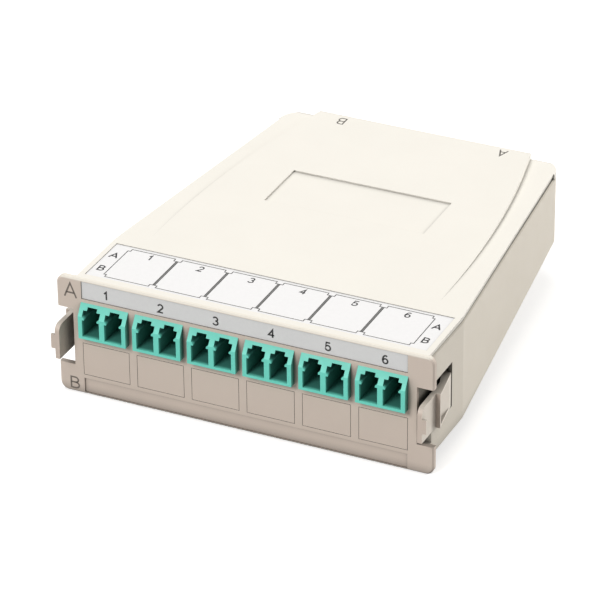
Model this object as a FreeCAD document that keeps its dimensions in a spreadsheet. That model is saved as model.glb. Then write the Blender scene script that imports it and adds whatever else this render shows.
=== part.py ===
import FreeCAD, Part
import math
import os
import re
import Sketcher
from FreeCAD import Placement, Rotation, Vector

# A plug-in fibre cassette: a moulded housing behind a panel plate, six duplex LC
# adapters in the upper row of the plate, blanks in the lower row, and a
# twelve-fibre MPO entry at the rear.
# Frame: x to the right across the plate, y into the panel, z up. The origin is the
# middle of the panel opening, in the plane of the panel's front face, so the
# backs of the plate's ears lie at y = 0 and the latches are centred on z = 0.
# Millimetres throughout.

SIZES = {
    # panel plate with its two ears
    "plate_thick": 1.5,
    "plate_corner": 2.2,
    "plate_edge": 0.4,
    "ear_width": 5.83,
    "notch_width": 4.5,
    "notch_height": 16.2,
    "seat_depth": 0.4,
    "seat_gap": 0.05,
    "tongue_thick": 1.3,
    "tongue_depth": 5.0,
    # bays of the plate
    "bay_count": 6,
    "bay_pitch": 15.24,
    "row_pitch": 11.67,
    "bay_gap": 0.05,
    # label recesses and labels
    "strip_inset": 1.12,
    "strip_gap": 0.915,
    "strip_height": 5.0,
    "strip_margin": 0.55,
    "foot_strip_gap": 0.965,
    "foot_strip_height": 4.1,
    "foot_strip_margin": 0.55,
    "strip_recess": 0.4,
    "label_thick": 0.2,
    "label_gap": 0.1,
    "top_label_inset": 1.55,
    "top_label_setback": 1.55,
    "top_label_depth": 17.5,
    "top_label_recess": 0.35,
    # duplex LC adapter
    "adapter_length": 27.0,
    "adapter_proud": 2.0,
    "bezel_slope": 3.1,
    "bezel_lip": 0.12,
    "port_pitch": 6.25,
    "port_width": 4.8,
    "port_height": 4.7,
    "port_cheek": 1.125,
    "port_sill": 0.75,
    "port_head": 0.75,
    "rib_height": 0.95,
    "rib_reach": 0.6,
    "key_height": 1.4,
    "slot_width": 2.7,
    "slot_height": 0.85,
    "web_thick": 3.0,
    "barrel_outer": 2.9,
    "barrel_length": 9.0,
    "barb_reach": 0.3,
    "barb_length": 2.5,
    "barb_height": 3.0,
    # alignment sleeve and ferrule
    "ferrule_size": 1.25,
    "ferrule_gap": 0.01,
    "sleeve_wall": 0.2,
    "sleeve_length": 6.8,
    "sleeve_slit": 0.25,
    "sleeve_gap": 0.05,
    # blank insert
    "blank_gap": 0.12,
    "blank_length": 6.0,
    "blank_wall": 1.2,
    "blank_lip": 0.3,
    "blank_lip_thick": 0.8,
    # plugs inside the housing
    "plug_gap": 0.1,
    "plug_stop": 0.5,
    "plug_length": 14.0,
    "plug_clip_length": 4.0,
    "plug_clip_thick": 0.9,
    "boot_size": 3.2,
    "boot_length": 7.0,
    # housing
    "body_shift": 1.6,
    "body_margin": 2.43,
    "body_depth": 108.5,
    "rear_width": 78.6,
    "kink_depth": 21.0,
    "rear_corner": 7.0,
    "foot_room": 1.765,
    "rear_foot": 4.6,
    "shell_wall": 1.3,
    "rim_chamfer": 0.35,
    # cover
    "cover_front": 1.5,
    "cover_rear": 2.95,
    "wing_round": 1.6,
    "field_round": 0.8,
    "groove_lean": 14,
    "wing_width": 8.15,
    "wing_start": 25.5,
    "wing_drop": 1.35,
    "field_lead": 5.0,
    "field_radius": 325.0,
    "nameplate_width": 45.0,
    "nameplate_depth": 18.3,
    "nameplate_setback": 55.4,
    "nameplate_recess": 0.45,
    "lip_thick": 1.0,
    "lip_gap": 0.15,
    "lip_foot": 5.0,
    "lip_start": 8.0,
    "lip_inset": 13.0,
    # latches
    "latch_height": 9.6,
    "latch_thick": 1.25,
    "latch_inset": 1.3,
    "latch_tip": 5.8,
    "latch_corner": 2.0,
    "catch_setback": 2.7,
    "catch_reach": 1.25,
    "ramp_gap": 0.6,
    "ramp_fall": 0.55,
    "grip_border": 0.7,
    "grip_floor": 0.25,
    "nub_reach": 1.15,
    "nub_height": 4.0,
    "nub_length": 0.7,
    "neck_thick": 0.8,
    "neck_lead": 1.1,
    "arm_bend": 8.0,
    "bead_radius": 1.0,
    "bead_gap": 0.05,
    "bead_inset": 2.25,
    # latch pocket and sockets in the shell
    "latch_gap": 0.3,
    "pocket_wall": 1.2,
    "pocket_depth": 14.0,
    "pocket_head": 2.75,
    "slit_width": 1.2,
    "slit_height": 3.3,
    "socket_mouth": 1.4,
    "socket_lip": 1.9,
    "socket_wall": 0.65,
    # MPO entry at the rear
    "mpo_inset": 16.05,
    "mpo_rise": 4.7,
    "mpo_width": 13.0,
    "mpo_height": 9.6,
    "mpo_length": 20.0,
    "mpo_proud": 6.0,
    "mpo_flange_width": 16.8,
    "mpo_flange_height": 11.4,
    "mpo_flange_thick": 1.4,
    "mpo_port_width": 10.0,
    "mpo_port_height": 7.0,
    "mpo_key_width": 2.6,
    "mpo_key_height": 0.8,
    "mpo_web": 2.0,
    "mpo_ferrule_width": 6.4,
    "mpo_ferrule_height": 2.5,
    "mpo_plug_gap": 0.2,
    "mpo_collar_width": 12.4,
    "mpo_collar_height": 7.7,
    "mpo_collar_length": 9.0,
    # fibres
    "fibre_size": 0.25,
    "comb_margin": 1.2,
    "comb_height": 3.0,
    "comb_length": 4.0,
    "comb_pitch": 1.2,
    "ribbon_thick": 0.4,
    "ribbon_width": 3.2,
    "ribbon_length": 4.0,
    "fibre_run": 12.0,
}

# What follows from the sizes above. The sheet holds these as formulas.
DERIVED = {
    "adapter_width": "port_pitch + port_width + 2 * port_cheek",
    "adapter_height": "port_sill + port_height + rib_height + key_height + slot_height + port_head",
    "adapter_front": "-plate_thick - adapter_proud",
    "adapter_back": "adapter_length - plate_thick - adapter_proud",
    "adapter_middle": "adapter_length / 2 - plate_thick - adapter_proud",
    "bay_width": "adapter_width - 2 * bezel_lip + 2 * bay_gap",
    "bay_height": "adapter_height - 2 * bezel_lip + 2 * bay_gap",
    "sleeve_outer": "ferrule_size + 2 * sleeve_wall",
    "row_width": "bay_count * bay_pitch",
    "row_top": "row_pitch / 2 + adapter_height / 2",
    "plate_width": "row_width + 2 * ear_width",
    "plate_top": "row_top + strip_gap + strip_height + strip_margin",
    "plate_foot": "row_top + foot_strip_gap + foot_strip_height + foot_strip_margin",
    "strip_width": "row_width - 2 * strip_inset",
    "notch_edge": "plate_width / 2 - notch_width",
    "body_width": "row_width + 2 * body_margin",
    "shell_foot": "row_top + foot_room",
    "side_taper": "(body_width - rear_width) / 2 / (body_depth - kink_depth)",
    "floor_rise": "(shell_foot - rear_foot) / (body_depth - kink_depth)",
    "groove_end": "body_depth - rear_corner",
    "wing_rear": "plate_top - wing_drop * (1 - wing_round / (body_depth - wing_start))",
    "top_label_width": "body_width - 2 * top_label_inset",
    "field_half": "body_width / 2 - wing_width",
    "field_start": "wing_start + field_lead",
    "lip_end": "body_depth - lip_inset",
    "pocket_foot": "latch_height / 2 + latch_gap",
    "pocket_top": "latch_height / 2 + pocket_head",
    "latch_face": "plate_width / 2 - latch_inset",
    "ramp_foot": "latch_face - ramp_fall",
    "ramp_end": "pocket_depth - ramp_gap",
    "bead_across": "latch_face - bead_inset",
    "bead_setback": "pocket_depth + socket_lip",
    "socket_side": "bead_across + bead_radius + bead_gap + socket_wall",
    "socket_back": "bead_setback + bead_radius + bead_gap + socket_wall",
    "plug_width": "port_width - 2 * plug_gap",
    "plug_height": "port_height - 2 * plug_gap",
    "plug_start": "adapter_middle + barrel_length / 2 + plug_stop",
    "boot_end": "plug_start + plug_length + boot_length",
    "mpo_offset": "rear_width / 2 - mpo_inset",
    "mpo_back": "body_depth + mpo_proud",
    "mpo_front": "mpo_back - mpo_length",
    "plug_tail": "mpo_front - mpo_collar_length",
    "comb_front": "plug_tail - ribbon_length - comb_length",
    "comb_width": "(2 * bay_count - 1) * comb_pitch + 2 * comb_margin",
}

DOC = FreeCAD.newDocument("FibreCassette")
SHEET = DOC.addObject("Spreadsheet::Sheet", "Sizes")
SHEET_NAMES = set(SIZES) | set(DERIVED)


def fill_sheet():
    """Write every size, and every formula that follows from sizes, into the sheet under its own alias."""
    rows = [(name, str(value)) for name, value in SIZES.items()]
    rows += [(name, f"={formula}") for name, formula in DERIVED.items()]
    for row, (name, content) in enumerate(rows, start=1):
        SHEET.set(f"A{row}", name)
        SHEET.setAlias(f"B{row}", name)
        SHEET.set(f"B{row}", content)
    DOC.recompute()


def link(formula):
    """Turn a formula of size names into an expression on the sheet."""
    return re.sub(r"[a-z]\w*", lambda word: ("Sizes." if word.group() in SHEET_NAMES else "") + word.group(), formula)


def number(formula):
    """The present value of a formula."""
    return float(SHEET.evalExpression(link(formula)))


def new_body(label):
    body = DOC.addObject("PartDesign::Body", label)
    body.Label = label
    return body


def place(body, x="0", y="0", z="0"):
    """Put a sub-part at a place given by formulas."""
    for axis, formula in zip("xyz", (x, y, z)):
        body.setExpression(f"Placement.Base.{axis}", link(formula))


def rectangle(left, low, right, high):
    return [(left, low), (right, low), (right, high), (left, high)]


def centred(x, y, width, height):
    return rectangle(f"{x} - {width} / 2", f"{y} - {height} / 2", f"{x} + {width} / 2", f"{y} + {height} / 2")


def mirrored(corners):
    """The same loop on the other side of the second axis."""
    return [(f"-({corner[0]})",) + tuple(corner[1:]) for corner in corners]


def add_circle(sketch, x, y, radius):
    index = sketch.addGeometry(Part.Circle(Vector(number(x), number(y), 0), Vector(0, 0, 1), number(radius)))
    for kind, formula in (("DistanceX", x), ("DistanceY", y)):
        hold = sketch.addConstraint(Sketcher.Constraint(kind, -1, 1, index, 3, number(formula)))
        sketch.setExpression(f"Constraints[{hold}]", link(formula))
    hold = sketch.addConstraint(Sketcher.Constraint("Radius", index, number(radius)))
    sketch.setExpression(f"Constraints[{hold}]", link(radius))


def many_sided(x, y, radius, sides=16):
    """A regular loop whose corners lie at a radius from its centre."""
    turns = [360 / sides * side for side in range(sides)]
    return [(f"{x} + {radius} * cos({turn})", f"{y} + {radius} * sin({turn})") for turn in turns]


def arc_between(start, end, radius, bulge):
    """An arc of a given radius that bows to the left (1) or right (-1) of its chord."""
    middle = (start + end) * 0.5
    half = (end - start).Length / 2
    side = Vector(-(end - start).y, (end - start).x, 0).normalize() * bulge
    rise = radius - math.sqrt(radius * radius - half * half)
    return Part.Arc(start, middle + side * rise, end)


def add_loop(sketch, corners):
    """Close a loop through corners. A corner is (x, y), and an arc leaves (x, y, radius, bulge)."""
    points = [Vector(number(corner[0]), number(corner[1]), 0) for corner in corners]
    first = sketch.GeometryCount
    count = len(points)
    ends = []
    for index, corner in enumerate(corners):
        start, end = points[index], points[(index + 1) % count]
        if len(corner) == 2:
            sketch.addGeometry(Part.LineSegment(start, end))
            ends.append((1, 2))
        else:
            sketch.addGeometry(arc_between(start, end, number(corner[2]), corner[3]))
            ends.append((2, 1) if corner[3] > 0 else (1, 2))
    for index, corner in enumerate(corners):
        following = (index + 1) % count
        sketch.addConstraint(Sketcher.Constraint(
            "Coincident", first + index, ends[index][1], first + following, ends[following][0]))
        for kind, formula in (("DistanceX", corner[0]), ("DistanceY", corner[1])):
            hold = sketch.addConstraint(Sketcher.Constraint(
                kind, -1, 1, first + index, ends[index][0], number(formula)))
            sketch.setExpression(f"Constraints[{hold}]", link(formula))
        if len(corner) > 2:
            hold = sketch.addConstraint(Sketcher.Constraint("Radius", first + index, number(corner[2])))
            sketch.setExpression(f"Constraints[{hold}]", link(corner[2]))


def sketch_on(body, plane, at, *loops):
    """Sketch closed loops on one of the body's own planes, moved to the height called at."""
    sketch = body.newObject("Sketcher::SketchObject", f"{body.Name}_outline")
    support = next(item for item in body.Origin.OriginFeatures if item.Role == f"{plane}_Plane")
    sketch.AttachmentSupport = [(support, "")]
    sketch.MapMode = "FlatFace"
    sign = "-" if plane == "XZ" else ""
    sketch.setExpression("AttachmentOffset.Base.z", link(f"{sign}({at})"))
    for loop in loops:
        if loop[0] == "circle":
            add_circle(sketch, *loop[1:])
        else:
            add_loop(sketch, loop)
    return sketch


def normal_way(sketch):
    """1 where the sketch faces along its world axis, -1 where it faces against it."""
    return -1 if "XZ" in sketch.AttachmentSupport[0][0].Role else 1


def pad(body, sketch, length, way=1, both_sides=False, lean=None):
    """Add material along (1) or against (-1) the sketch's world axis, its sides leaning by an angle."""
    feature = body.newObject("PartDesign::Pad", f"{body.Name}_pad")
    feature.Profile = sketch
    feature.setExpression("Length", link(length))
    feature.SideType = "Symmetric" if both_sides else "One side"
    feature.Reversed = way != normal_way(sketch)
    if lean:
        feature.setExpression("TaperAngle", link(lean))
    DOC.recompute()
    return feature


def pocket(body, sketch, length=None, way=1):
    """Cut from the sketch along (1) or against (-1) its world axis, or right through both ways."""
    before = body.Shape.Volume
    feature = body.newObject("PartDesign::Pocket", f"{body.Name}_pocket")
    feature.Profile = sketch
    if length is None:
        feature.Type = "ThroughAll"
        feature.SideType = "Symmetric"
    else:
        feature.setExpression("Length", link(length))
        feature.Reversed = way == normal_way(sketch)
    DOC.recompute()
    if feature.Shape.Volume > before - 1e-6:
        raise RuntimeError(f"{body.Label}: a pocket cuts nothing")
    return feature


def repeat(body, feature, step, count):
    """Repeat a feature along x."""
    pattern = body.newObject("PartDesign::LinearPattern", f"{body.Name}_pattern")
    pattern.Originals = [feature]
    pattern.Direction = (feature.Profile[0], ["H_Axis"])
    pattern.Mode = "Spacing"
    pattern.setExpression("Offset", link(step))
    pattern.setExpression("Occurrences", link(count))
    body.Tip = pattern
    DOC.recompute()
    return pattern


def edge_names(shape, wanted):
    return [f"Edge{index}" for index, edge in enumerate(shape.Edges, start=1) if wanted(edge)]


def face_names(shape, wanted):
    return [f"Face{index}" for index, face in enumerate(shape.Faces, start=1) if wanted(face)]


def fillet(body, radius, wanted):
    base = body.Tip
    feature = body.newObject("PartDesign::Fillet", f"{body.Name}_fillet")
    feature.Base = (base, edge_names(base.Shape, wanted))
    feature.setExpression("Radius", link(radius))
    DOC.recompute()
    return feature


def chamfer(body, size, wanted):
    base = body.Tip
    feature = body.newObject("PartDesign::Chamfer", f"{body.Name}_chamfer")
    feature.Base = (base, edge_names(base.Shape, wanted))
    feature.setExpression("Size", link(size))
    DOC.recompute()
    return feature


def near(value, target, slack=0.01):
    return abs(value - target) < slack


def runs_along(edge, axis):
    """Whether an edge is straight and parallel to an axis, 0 for x, 1 for y, 2 for z."""
    reach = edge.BoundBox
    return all(near(size, 0) for turn, size in enumerate((reach.XLength, reach.YLength, reach.ZLength))
               if turn != axis)


# ---------------------------------------------------------------- panel plate

def front_plate():
    """The plate: ears with latch notches, two rows of bays, label recesses, and behind it the
    rebate that the housing seats in and the tongue that slides in under the cover."""
    body = new_body("front_plate")
    side = "plate_width / 2"
    notch = "notch_height / 2"
    right = [(side, "-plate_foot"), (side, f"-{notch}"), ("notch_edge", f"-{notch}"),
             ("notch_edge", notch), (side, notch), (side, "plate_top")]
    pad(body, sketch_on(body, "XZ", "0", right + mirrored(right)[::-1]), "plate_thick", way=-1)
    half = number(side)
    levels = (number("plate_top"), -number("plate_foot"))
    fillet(body, "plate_corner", lambda edge: runs_along(edge, 1) and near(abs(edge.CenterOfMass.x), half)
           and any(near(edge.CenterOfMass.z, level) for level in levels))
    front = number("-plate_thick")
    chamfer(body, "plate_edge", lambda edge: near(edge.BoundBox.YMin, front) and near(edge.BoundBox.YMax, front)
           and any(near(edge.CenterOfMass.z, level) for level in levels))
    first = "(bay_count - 1) / 2 * bay_pitch"
    bays = [centred(f"-{first}", f"{sign}row_pitch / 2", "bay_width", "bay_height") for sign in ("", "-")]
    opening = pocket(body, sketch_on(body, "XZ", "0", *bays))
    repeat(body, opening, "bay_pitch", "bay_count")
    pocket(body, sketch_on(body, "XZ", "-plate_thick", strip_loop()), "strip_recess", way=1)
    low = "-plate_foot + foot_strip_margin"
    lower = rectangle("-strip_width / 2", low, "strip_width / 2", f"{low} + foot_strip_height")
    pocket(body, sketch_on(body, "XZ", "-plate_thick", lower), "strip_recess", way=1)
    seat = [("body_shift - body_width / 2 - seat_gap", "-shell_foot - seat_gap"),
            ("body_shift + body_width / 2 + seat_gap", "-shell_foot - seat_gap"),
            ("body_shift + body_width / 2 + seat_gap", "2 * plate_top"),
            ("body_shift - body_width / 2 - seat_gap", "2 * plate_top")]
    pocket(body, sketch_on(body, "XZ", "0", seat), "seat_depth", way=-1)
    high = "(plate_top - cover_front - lip_gap)"
    tongue = rectangle("-strip_width / 2", f"{high} - tongue_thick", "strip_width / 2", high)
    pad(body, sketch_on(body, "XZ", "-seat_depth", tongue), "tongue_depth", way=1)
    return body


def strip_loop(gap="0"):
    """The label field above the bays, shrunk by a gap all round."""
    high = "plate_top - strip_margin"
    return rectangle(f"-strip_width / 2 + {gap}", f"{high} - strip_height + {gap}",
                     f"strip_width / 2 - {gap}", f"{high} - {gap}")


def front_label():
    """The card strip that lies in the recess above the bays."""
    body = new_body("front_label")
    seat = "-plate_thick + strip_recess"
    pad(body, sketch_on(body, "XZ", seat, strip_loop("label_gap")), "label_thick", way=-1)
    return body


# ---------------------------------------------------------------- adapters and blanks

def bay_x(number_of_bay):
    return f"({number_of_bay} - (bay_count + 1) / 2) * bay_pitch"


def port_loop(centre):
    """One LC port: a square cavity, two guide ribs, the key space and the latch slot."""
    base = "(port_sill - adapter_height / 2)"
    ribs = f"({base} + port_height)"
    key = f"({ribs} + rib_height)"
    slot = f"({key} + key_height)"
    right = [("port_width / 2", base), ("port_width / 2", ribs),
             ("port_width / 2 - rib_reach", ribs), ("port_width / 2 - rib_reach", f"{ribs} + rib_height / 2"),
             ("port_width / 2", key), ("port_width / 2", slot), ("slot_width / 2", slot),
             ("slot_width / 2", f"{slot} + slot_height")]
    return [(f"{centre} + {x}", z) for x, z in right] + [(f"{centre} - ({x})", z) for x, z in right[::-1]]


def lc_adapter(bay):
    """A duplex LC adapter with a bezel that slopes back, four ports and two sleeve holders."""
    body = new_body(f"lc_adapter_{bay}")
    core = centred("0", "0", "(adapter_width - 2 * bezel_lip)", "(adapter_height - 2 * bezel_lip)")
    pad(body, sketch_on(body, "XZ", "-plate_thick", core), "adapter_length - adapter_proud", way=1)
    half = "adapter_height / 2"
    bezel = [("adapter_front", f"-{half}"), ("-plate_thick", f"-{half}"), ("-plate_thick", half),
             ("adapter_front", f"{half} - bezel_slope")]
    pad(body, sketch_on(body, "YZ", "0", bezel), "adapter_width", both_sides=True)
    ports = [port_loop("-port_pitch / 2"), port_loop("port_pitch / 2")]
    depth = "(adapter_length - web_thick) / 2"
    pocket(body, sketch_on(body, "XZ", "adapter_front", *ports), depth, way=1)
    pocket(body, sketch_on(body, "XZ", "adapter_back", *ports), depth, way=-1)
    middle = "port_sill - adapter_height / 2 + port_height / 2"
    barrels = [many_sided(f"{side}port_pitch / 2", middle, "barrel_outer / 2") for side in ("-", "")]
    pad(body, sketch_on(body, "XZ", "adapter_middle", *barrels), "barrel_length / 2", way=-1)
    blocks = [centred(f"{side}port_pitch / 2", middle, "barrel_outer", "barrel_outer") for side in ("-", "")]
    pad(body, sketch_on(body, "XZ", "adapter_middle", *blocks), "barrel_length / 2", way=1)
    bore = "(sleeve_outer / 2 + sleeve_gap)"
    bores = [many_sided(f"{side}port_pitch / 2", middle, bore) for side in ("-", "")]
    pocket(body, sketch_on(body, "XZ", "adapter_middle", *bores))
    edge = "(adapter_width - 2 * bezel_lip) / 2"
    step = "bay_gap - seat_depth"
    barb = [(edge, step), (f"{edge} + barb_reach", step), (edge, f"{step} + barb_length")]
    pad(body, sketch_on(body, "XY", "0", barb, mirrored(barb)), "barb_height", both_sides=True)
    place(body, bay_x(bay), "0", "row_pitch / 2")
    return body


def port_centre(port):
    """Across and up to the middle of a port, counted from 1 at the left."""
    bay = (port + 1) // 2
    side = "-" if port % 2 else "+"
    return f"({bay_x(bay)} {side} port_pitch / 2)", "(row_pitch / 2 + port_sill - adapter_height / 2 + port_height / 2)"


def alignment_sleeve(port):
    """The split zirconia sleeve that lines up two ferrules."""
    body = new_body(f"alignment_sleeve_{port}")
    ring = [many_sided("0", "0", "sleeve_outer / 2"), many_sided("0", "0", "ferrule_size / 2")]
    pad(body, sketch_on(body, "XZ", "0", *ring), "sleeve_length", both_sides=True)
    slit = rectangle("-sleeve_slit / 2", "0", "sleeve_slit / 2", "ferrule_size")
    pocket(body, sketch_on(body, "XZ", "0", slit))
    across, up = port_centre(port)
    place(body, across, "adapter_middle", up)
    return body


def blank_insert(bay):
    """A cup that fills an unused bay flush with the plate, with a lip behind it."""
    body = new_body(f"blank_insert_{bay}")
    wide = "(bay_width - 2 * blank_gap)"
    tall = "(bay_height - 2 * blank_gap)"
    pad(body, sketch_on(body, "XZ", "-plate_thick", centred("0", "0", wide, tall)), "blank_length", way=1)
    lip = centred("0", "0", "(bay_width + 2 * blank_lip)", "(bay_height + blank_lip)")
    pad(body, sketch_on(body, "XZ", "-seat_depth", lip), "blank_lip_thick", way=1)
    hollow = centred("0", "0", f"({wide} - 2 * blank_wall)", f"({tall} - 2 * blank_wall)")
    end = "-plate_thick + blank_length"
    pocket(body, sketch_on(body, "XZ", end, hollow), "blank_length - blank_wall", way=-1)
    place(body, bay_x(bay), "0", "-row_pitch / 2")
    return body


def inner_plug(bay):
    """The duplex LC plug behind an adapter: two bodies with ferrules and boots, in one clip."""
    body = new_body(f"inner_plug_{bay}")
    lanes = ("-port_pitch / 2", "port_pitch / 2")
    bodies = [centred(lane, "0", "plug_width", "plug_height") for lane in lanes]
    pad(body, sketch_on(body, "XZ", "0", *bodies), "plug_length", way=1)
    ferrules = [many_sided(lane, "0", "(ferrule_size / 2 - ferrule_gap)") for lane in lanes]
    pad(body, sketch_on(body, "XZ", "0", *ferrules), "plug_start - adapter_middle", way=-1)
    boots = [centred(lane, "0", "boot_size", "boot_size") for lane in lanes]
    pad(body, sketch_on(body, "XZ", "plug_length", *boots), "boot_length", way=1)
    high = "plug_height / 2"
    clip = rectangle("-port_pitch / 2", high, "port_pitch / 2", f"{high} + plug_clip_thick")
    pad(body, sketch_on(body, "XZ", "plug_length", clip), "plug_clip_length", way=-1)
    across, up = port_centre(2 * bay)
    place(body, f"{across} - port_pitch / 2", "plug_start", up)
    return body


# ---------------------------------------------------------------- housing

def plan_loop(start="-seat_depth", end="body_depth"):
    """The housing seen from above: parallel at the front, then tapering to the rear."""
    stations = [station for station in (start, "kink_depth", end) if number(station) >= number(start)]
    halves = [f"(body_width / 2 - side_taper * max({station} - kink_depth; 0))" for station in stations]
    right = [(f"body_shift + {half}", station) for half, station in zip(halves, stations)]
    left = [(f"body_shift - {half}", station) for half, station in zip(halves, stations)]
    return right + left[::-1]


def parting_height(setback):
    """Height of the joint between shell and cover, which falls toward the rear."""
    return f"(plate_top - cover_front - (cover_rear - cover_front) * ({setback}) / body_depth)"


def round_rear_corners(body):
    depth = number("body_depth")
    fillet(body, "rear_corner", lambda edge: runs_along(edge, 2) and near(edge.CenterOfMass.y, depth))


def lower_shell():
    """The open tray: tapering plan, rising floor, latch pocket, two latch sockets, MPO openings."""
    body = new_body("lower_shell")
    pad(body, sketch_on(body, "XY", "-shell_foot", plan_loop()), "shell_foot + plate_top", way=1)
    round_rear_corners(body)
    over = "body_depth + plate_top"
    lid = [("-plate_top", parting_height("-plate_top")), (over, parting_height(over)),
           (over, "2 * plate_top"), ("-plate_top", "2 * plate_top")]
    pocket(body, sketch_on(body, "YZ", "0", lid))
    under = [("kink_depth", "-shell_foot"), ("kink_depth", "-2 * shell_foot"), (over, "-2 * shell_foot"),
             (over, "plate_top * floor_rise - rear_foot")]
    pocket(body, sketch_on(body, "YZ", "0", under))
    hollow_shell(body)
    chamfer_rim(body)
    latch_pocket(body)
    left_socket(body)
    mpo_openings(body)
    comb_post(body)
    return body


def hollow_shell(body):
    """Hollow the tray, open at the top and at the front."""
    base = body.Tip
    depth = number("plate_top - cover_front")
    faces = face_names(base.Shape, lambda face: face.normalAt(0, 0).z > 0.9 and near(face.BoundBox.ZMax, depth)
                       or face.normalAt(0, 0).y < -0.9)
    hollow = body.newObject("PartDesign::Thickness", "hollow")
    hollow.Base = (base, faces)
    hollow.setExpression("Value", link("shell_wall"))
    hollow.Reversed = True
    hollow.Join = "Intersection"
    DOC.recompute()


def outer_rim_edge(edge):
    """Whether an edge lies on the outside of the parting joint, beside or behind the housing."""
    middle = edge.CenterOfMass
    across = abs(middle.x - number("body_shift"))
    wide = number("body_width") / 2 - number("side_taper") * max(0, middle.y - number("kink_depth"))
    beside = across > wide - number("shell_wall") / 2
    behind = middle.y > number("body_depth - shell_wall / 2")
    corner = edge.Curve.TypeId != "Part::GeomLine" and middle.y > number("body_depth - rear_corner") \
        and edge.Length > number("rear_corner")
    on_joint = near(middle.z, number(parting_height(str(middle.y))), 0.05)
    return on_joint and (beside or behind or corner) and middle.y > number("seat_depth")


def chamfer_rim(body):
    chamfer(body, "rim_chamfer", outer_rim_edge)


def socket_loops(side):
    """The round seat of a latch bead and the mouth that its neck comes out of."""
    across = f"{side} * bead_across"
    mouth = centred(across, "(pocket_depth + bead_setback) / 2", "socket_mouth", "(bead_setback - pocket_depth)")
    return ("circle", across, "bead_setback", "bead_radius + bead_gap"), mouth


def latch_pocket(body):
    """The walled pocket behind the right ear, cut open through the side wall."""
    wall = "body_shift + body_width / 2"
    block = rectangle("notch_edge - pocket_wall", "-seat_depth", "socket_side", "socket_back")
    floor = "-shell_foot + shell_wall / 2"
    pad(body, sketch_on(body, "XY", floor, block), f"pocket_top + pocket_wall - ({floor})", way=1)
    window = rectangle("notch_edge", "-plate_thick", f"{wall} + pocket_wall", "pocket_depth")
    pocket(body, sketch_on(body, "XY", "pocket_top", window), "pocket_top + pocket_foot", way=-1)
    slit = rectangle("notch_edge", "-plate_thick", f"{wall} + pocket_wall", "slit_width")
    pocket(body, sketch_on(body, "XY", "-pocket_foot", slit), "slit_height", way=-1)
    for loop in socket_loops(1):
        pocket(body, sketch_on(body, "XY", "pocket_top", loop), "pocket_top + pocket_foot", way=-1)


def left_socket(body):
    """The latch socket of the left side, a boss on the outer wall."""
    wall = "body_shift - body_width / 2"
    block = rectangle("-socket_side", "pocket_depth", f"{wall} + shell_wall / 2", "socket_back")
    pad(body, sketch_on(body, "XY", "-pocket_foot - pocket_wall", block),
        "2 * (pocket_foot + pocket_wall)", way=1)
    for loop in socket_loops(-1):
        pocket(body, sketch_on(body, "XY", "pocket_foot + pocket_wall", loop),
               "2 * pocket_foot + pocket_wall", way=-1)


def mpo_openings(body):
    """Two openings in the rear wall, one for the adapter and one for the blank."""
    loops = [centred(f"(body_shift {side} mpo_offset)", "mpo_rise", "(mpo_width + 2 * bay_gap)",
                     "(mpo_height + 2 * bay_gap)") for side in ("-", "+")]
    pocket(body, sketch_on(body, "XZ", "body_depth", *loops), "2 * shell_wall", way=-1)


def comb_post(body):
    """The post on the floor that carries the fibre comb."""
    post = rectangle("body_shift + mpo_offset - comb_width / 2", "comb_front",
                     "body_shift + mpo_offset + comb_width / 2", "comb_front + comb_length")
    seat = "mpo_rise - comb_height / 2"
    floor = "(floor_rise * (comb_front - kink_depth) - shell_foot + shell_wall / 2)"
    pad(body, sketch_on(body, "XY", seat, post), f"{seat} - {floor}", way=-1)


def top_cover():
    """The lid: raised field between sloping wings, round rear edge, shadow groove and recesses."""
    body = new_body("top_cover")
    leaning = plan_loop("-seat_depth - 2 * cover_rear", "(groove_end + body_depth) / 2")
    pad(body, sketch_on(body, "XY", "plate_top", leaning), "2 * cover_rear", way=-1, lean="-groove_lean")
    pad(body, sketch_on(body, "XY", "plate_top", plan_loop("groove_end")), "2 * cover_rear", way=-1)
    nose = rectangle("-body_width", "-body_depth", "body_width", "-seat_depth")
    pocket(body, sketch_on(body, "XY", "0", nose))
    round_rear_corners(body)
    cover_wings(body)
    under = [("-plate_top", parting_height("-plate_top")), ("-plate_top", "0"),
             ("body_depth + plate_top", "0"), ("body_depth + plate_top", parting_height("body_depth + plate_top"))]
    pocket(body, sketch_on(body, "YZ", "0", under))
    cover_recesses(body)
    cover_lips(body)
    return body


def cover_wings(body):
    """Slope the lid down to its round rear edge, then raise the field between two long arcs."""
    slope = [("wing_start", "plate_top"), ("body_depth - wing_round", "wing_rear"),
             ("2 * body_depth", "wing_rear"), ("2 * body_depth", "2 * plate_top"), ("wing_start", "2 * plate_top")]
    pocket(body, sketch_on(body, "YZ", "0", slope))
    round_rear_edge(body, "wing_rear", "wing_round")
    run = "(body_depth - field_start)"
    narrow = f"(field_half - field_radius + sqrt(field_radius ^ 2 - {run} ^ 2))"
    field = [("body_shift - field_half", "wing_start"),
             ("body_shift + field_half", "wing_start"),
             ("body_shift + field_half", "field_start", "field_radius", -1),
             (f"body_shift + {narrow}", "body_depth"),
             (f"body_shift - {narrow}", "body_depth", "field_radius", -1),
             ("body_shift - field_half", "field_start")]
    pad(body, sketch_on(body, "XY", "plate_top", field), "2 * cover_rear", way=-1)
    round_rear_edge(body, "plate_top", "field_round")


def round_rear_edge(body, top, radius):
    """Round the lid over into the rear wall, from a given height down."""
    start, end = f"body_depth - {radius}", f"{top} - {radius}"
    waste = [(start, top), (start, "2 * plate_top"), ("2 * body_depth", "2 * plate_top"),
             ("2 * body_depth", end), ("body_depth", end, radius, -1)]
    pocket(body, sketch_on(body, "YZ", "0", waste))


def label_loop(gap="0"):
    high = "top_label_setback + top_label_depth"
    half = "top_label_width / 2"
    return rectangle(f"body_shift - {half} + {gap}", f"top_label_setback + {gap}",
                     f"body_shift + {half} - {gap}", f"{high} - {gap}")


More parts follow.
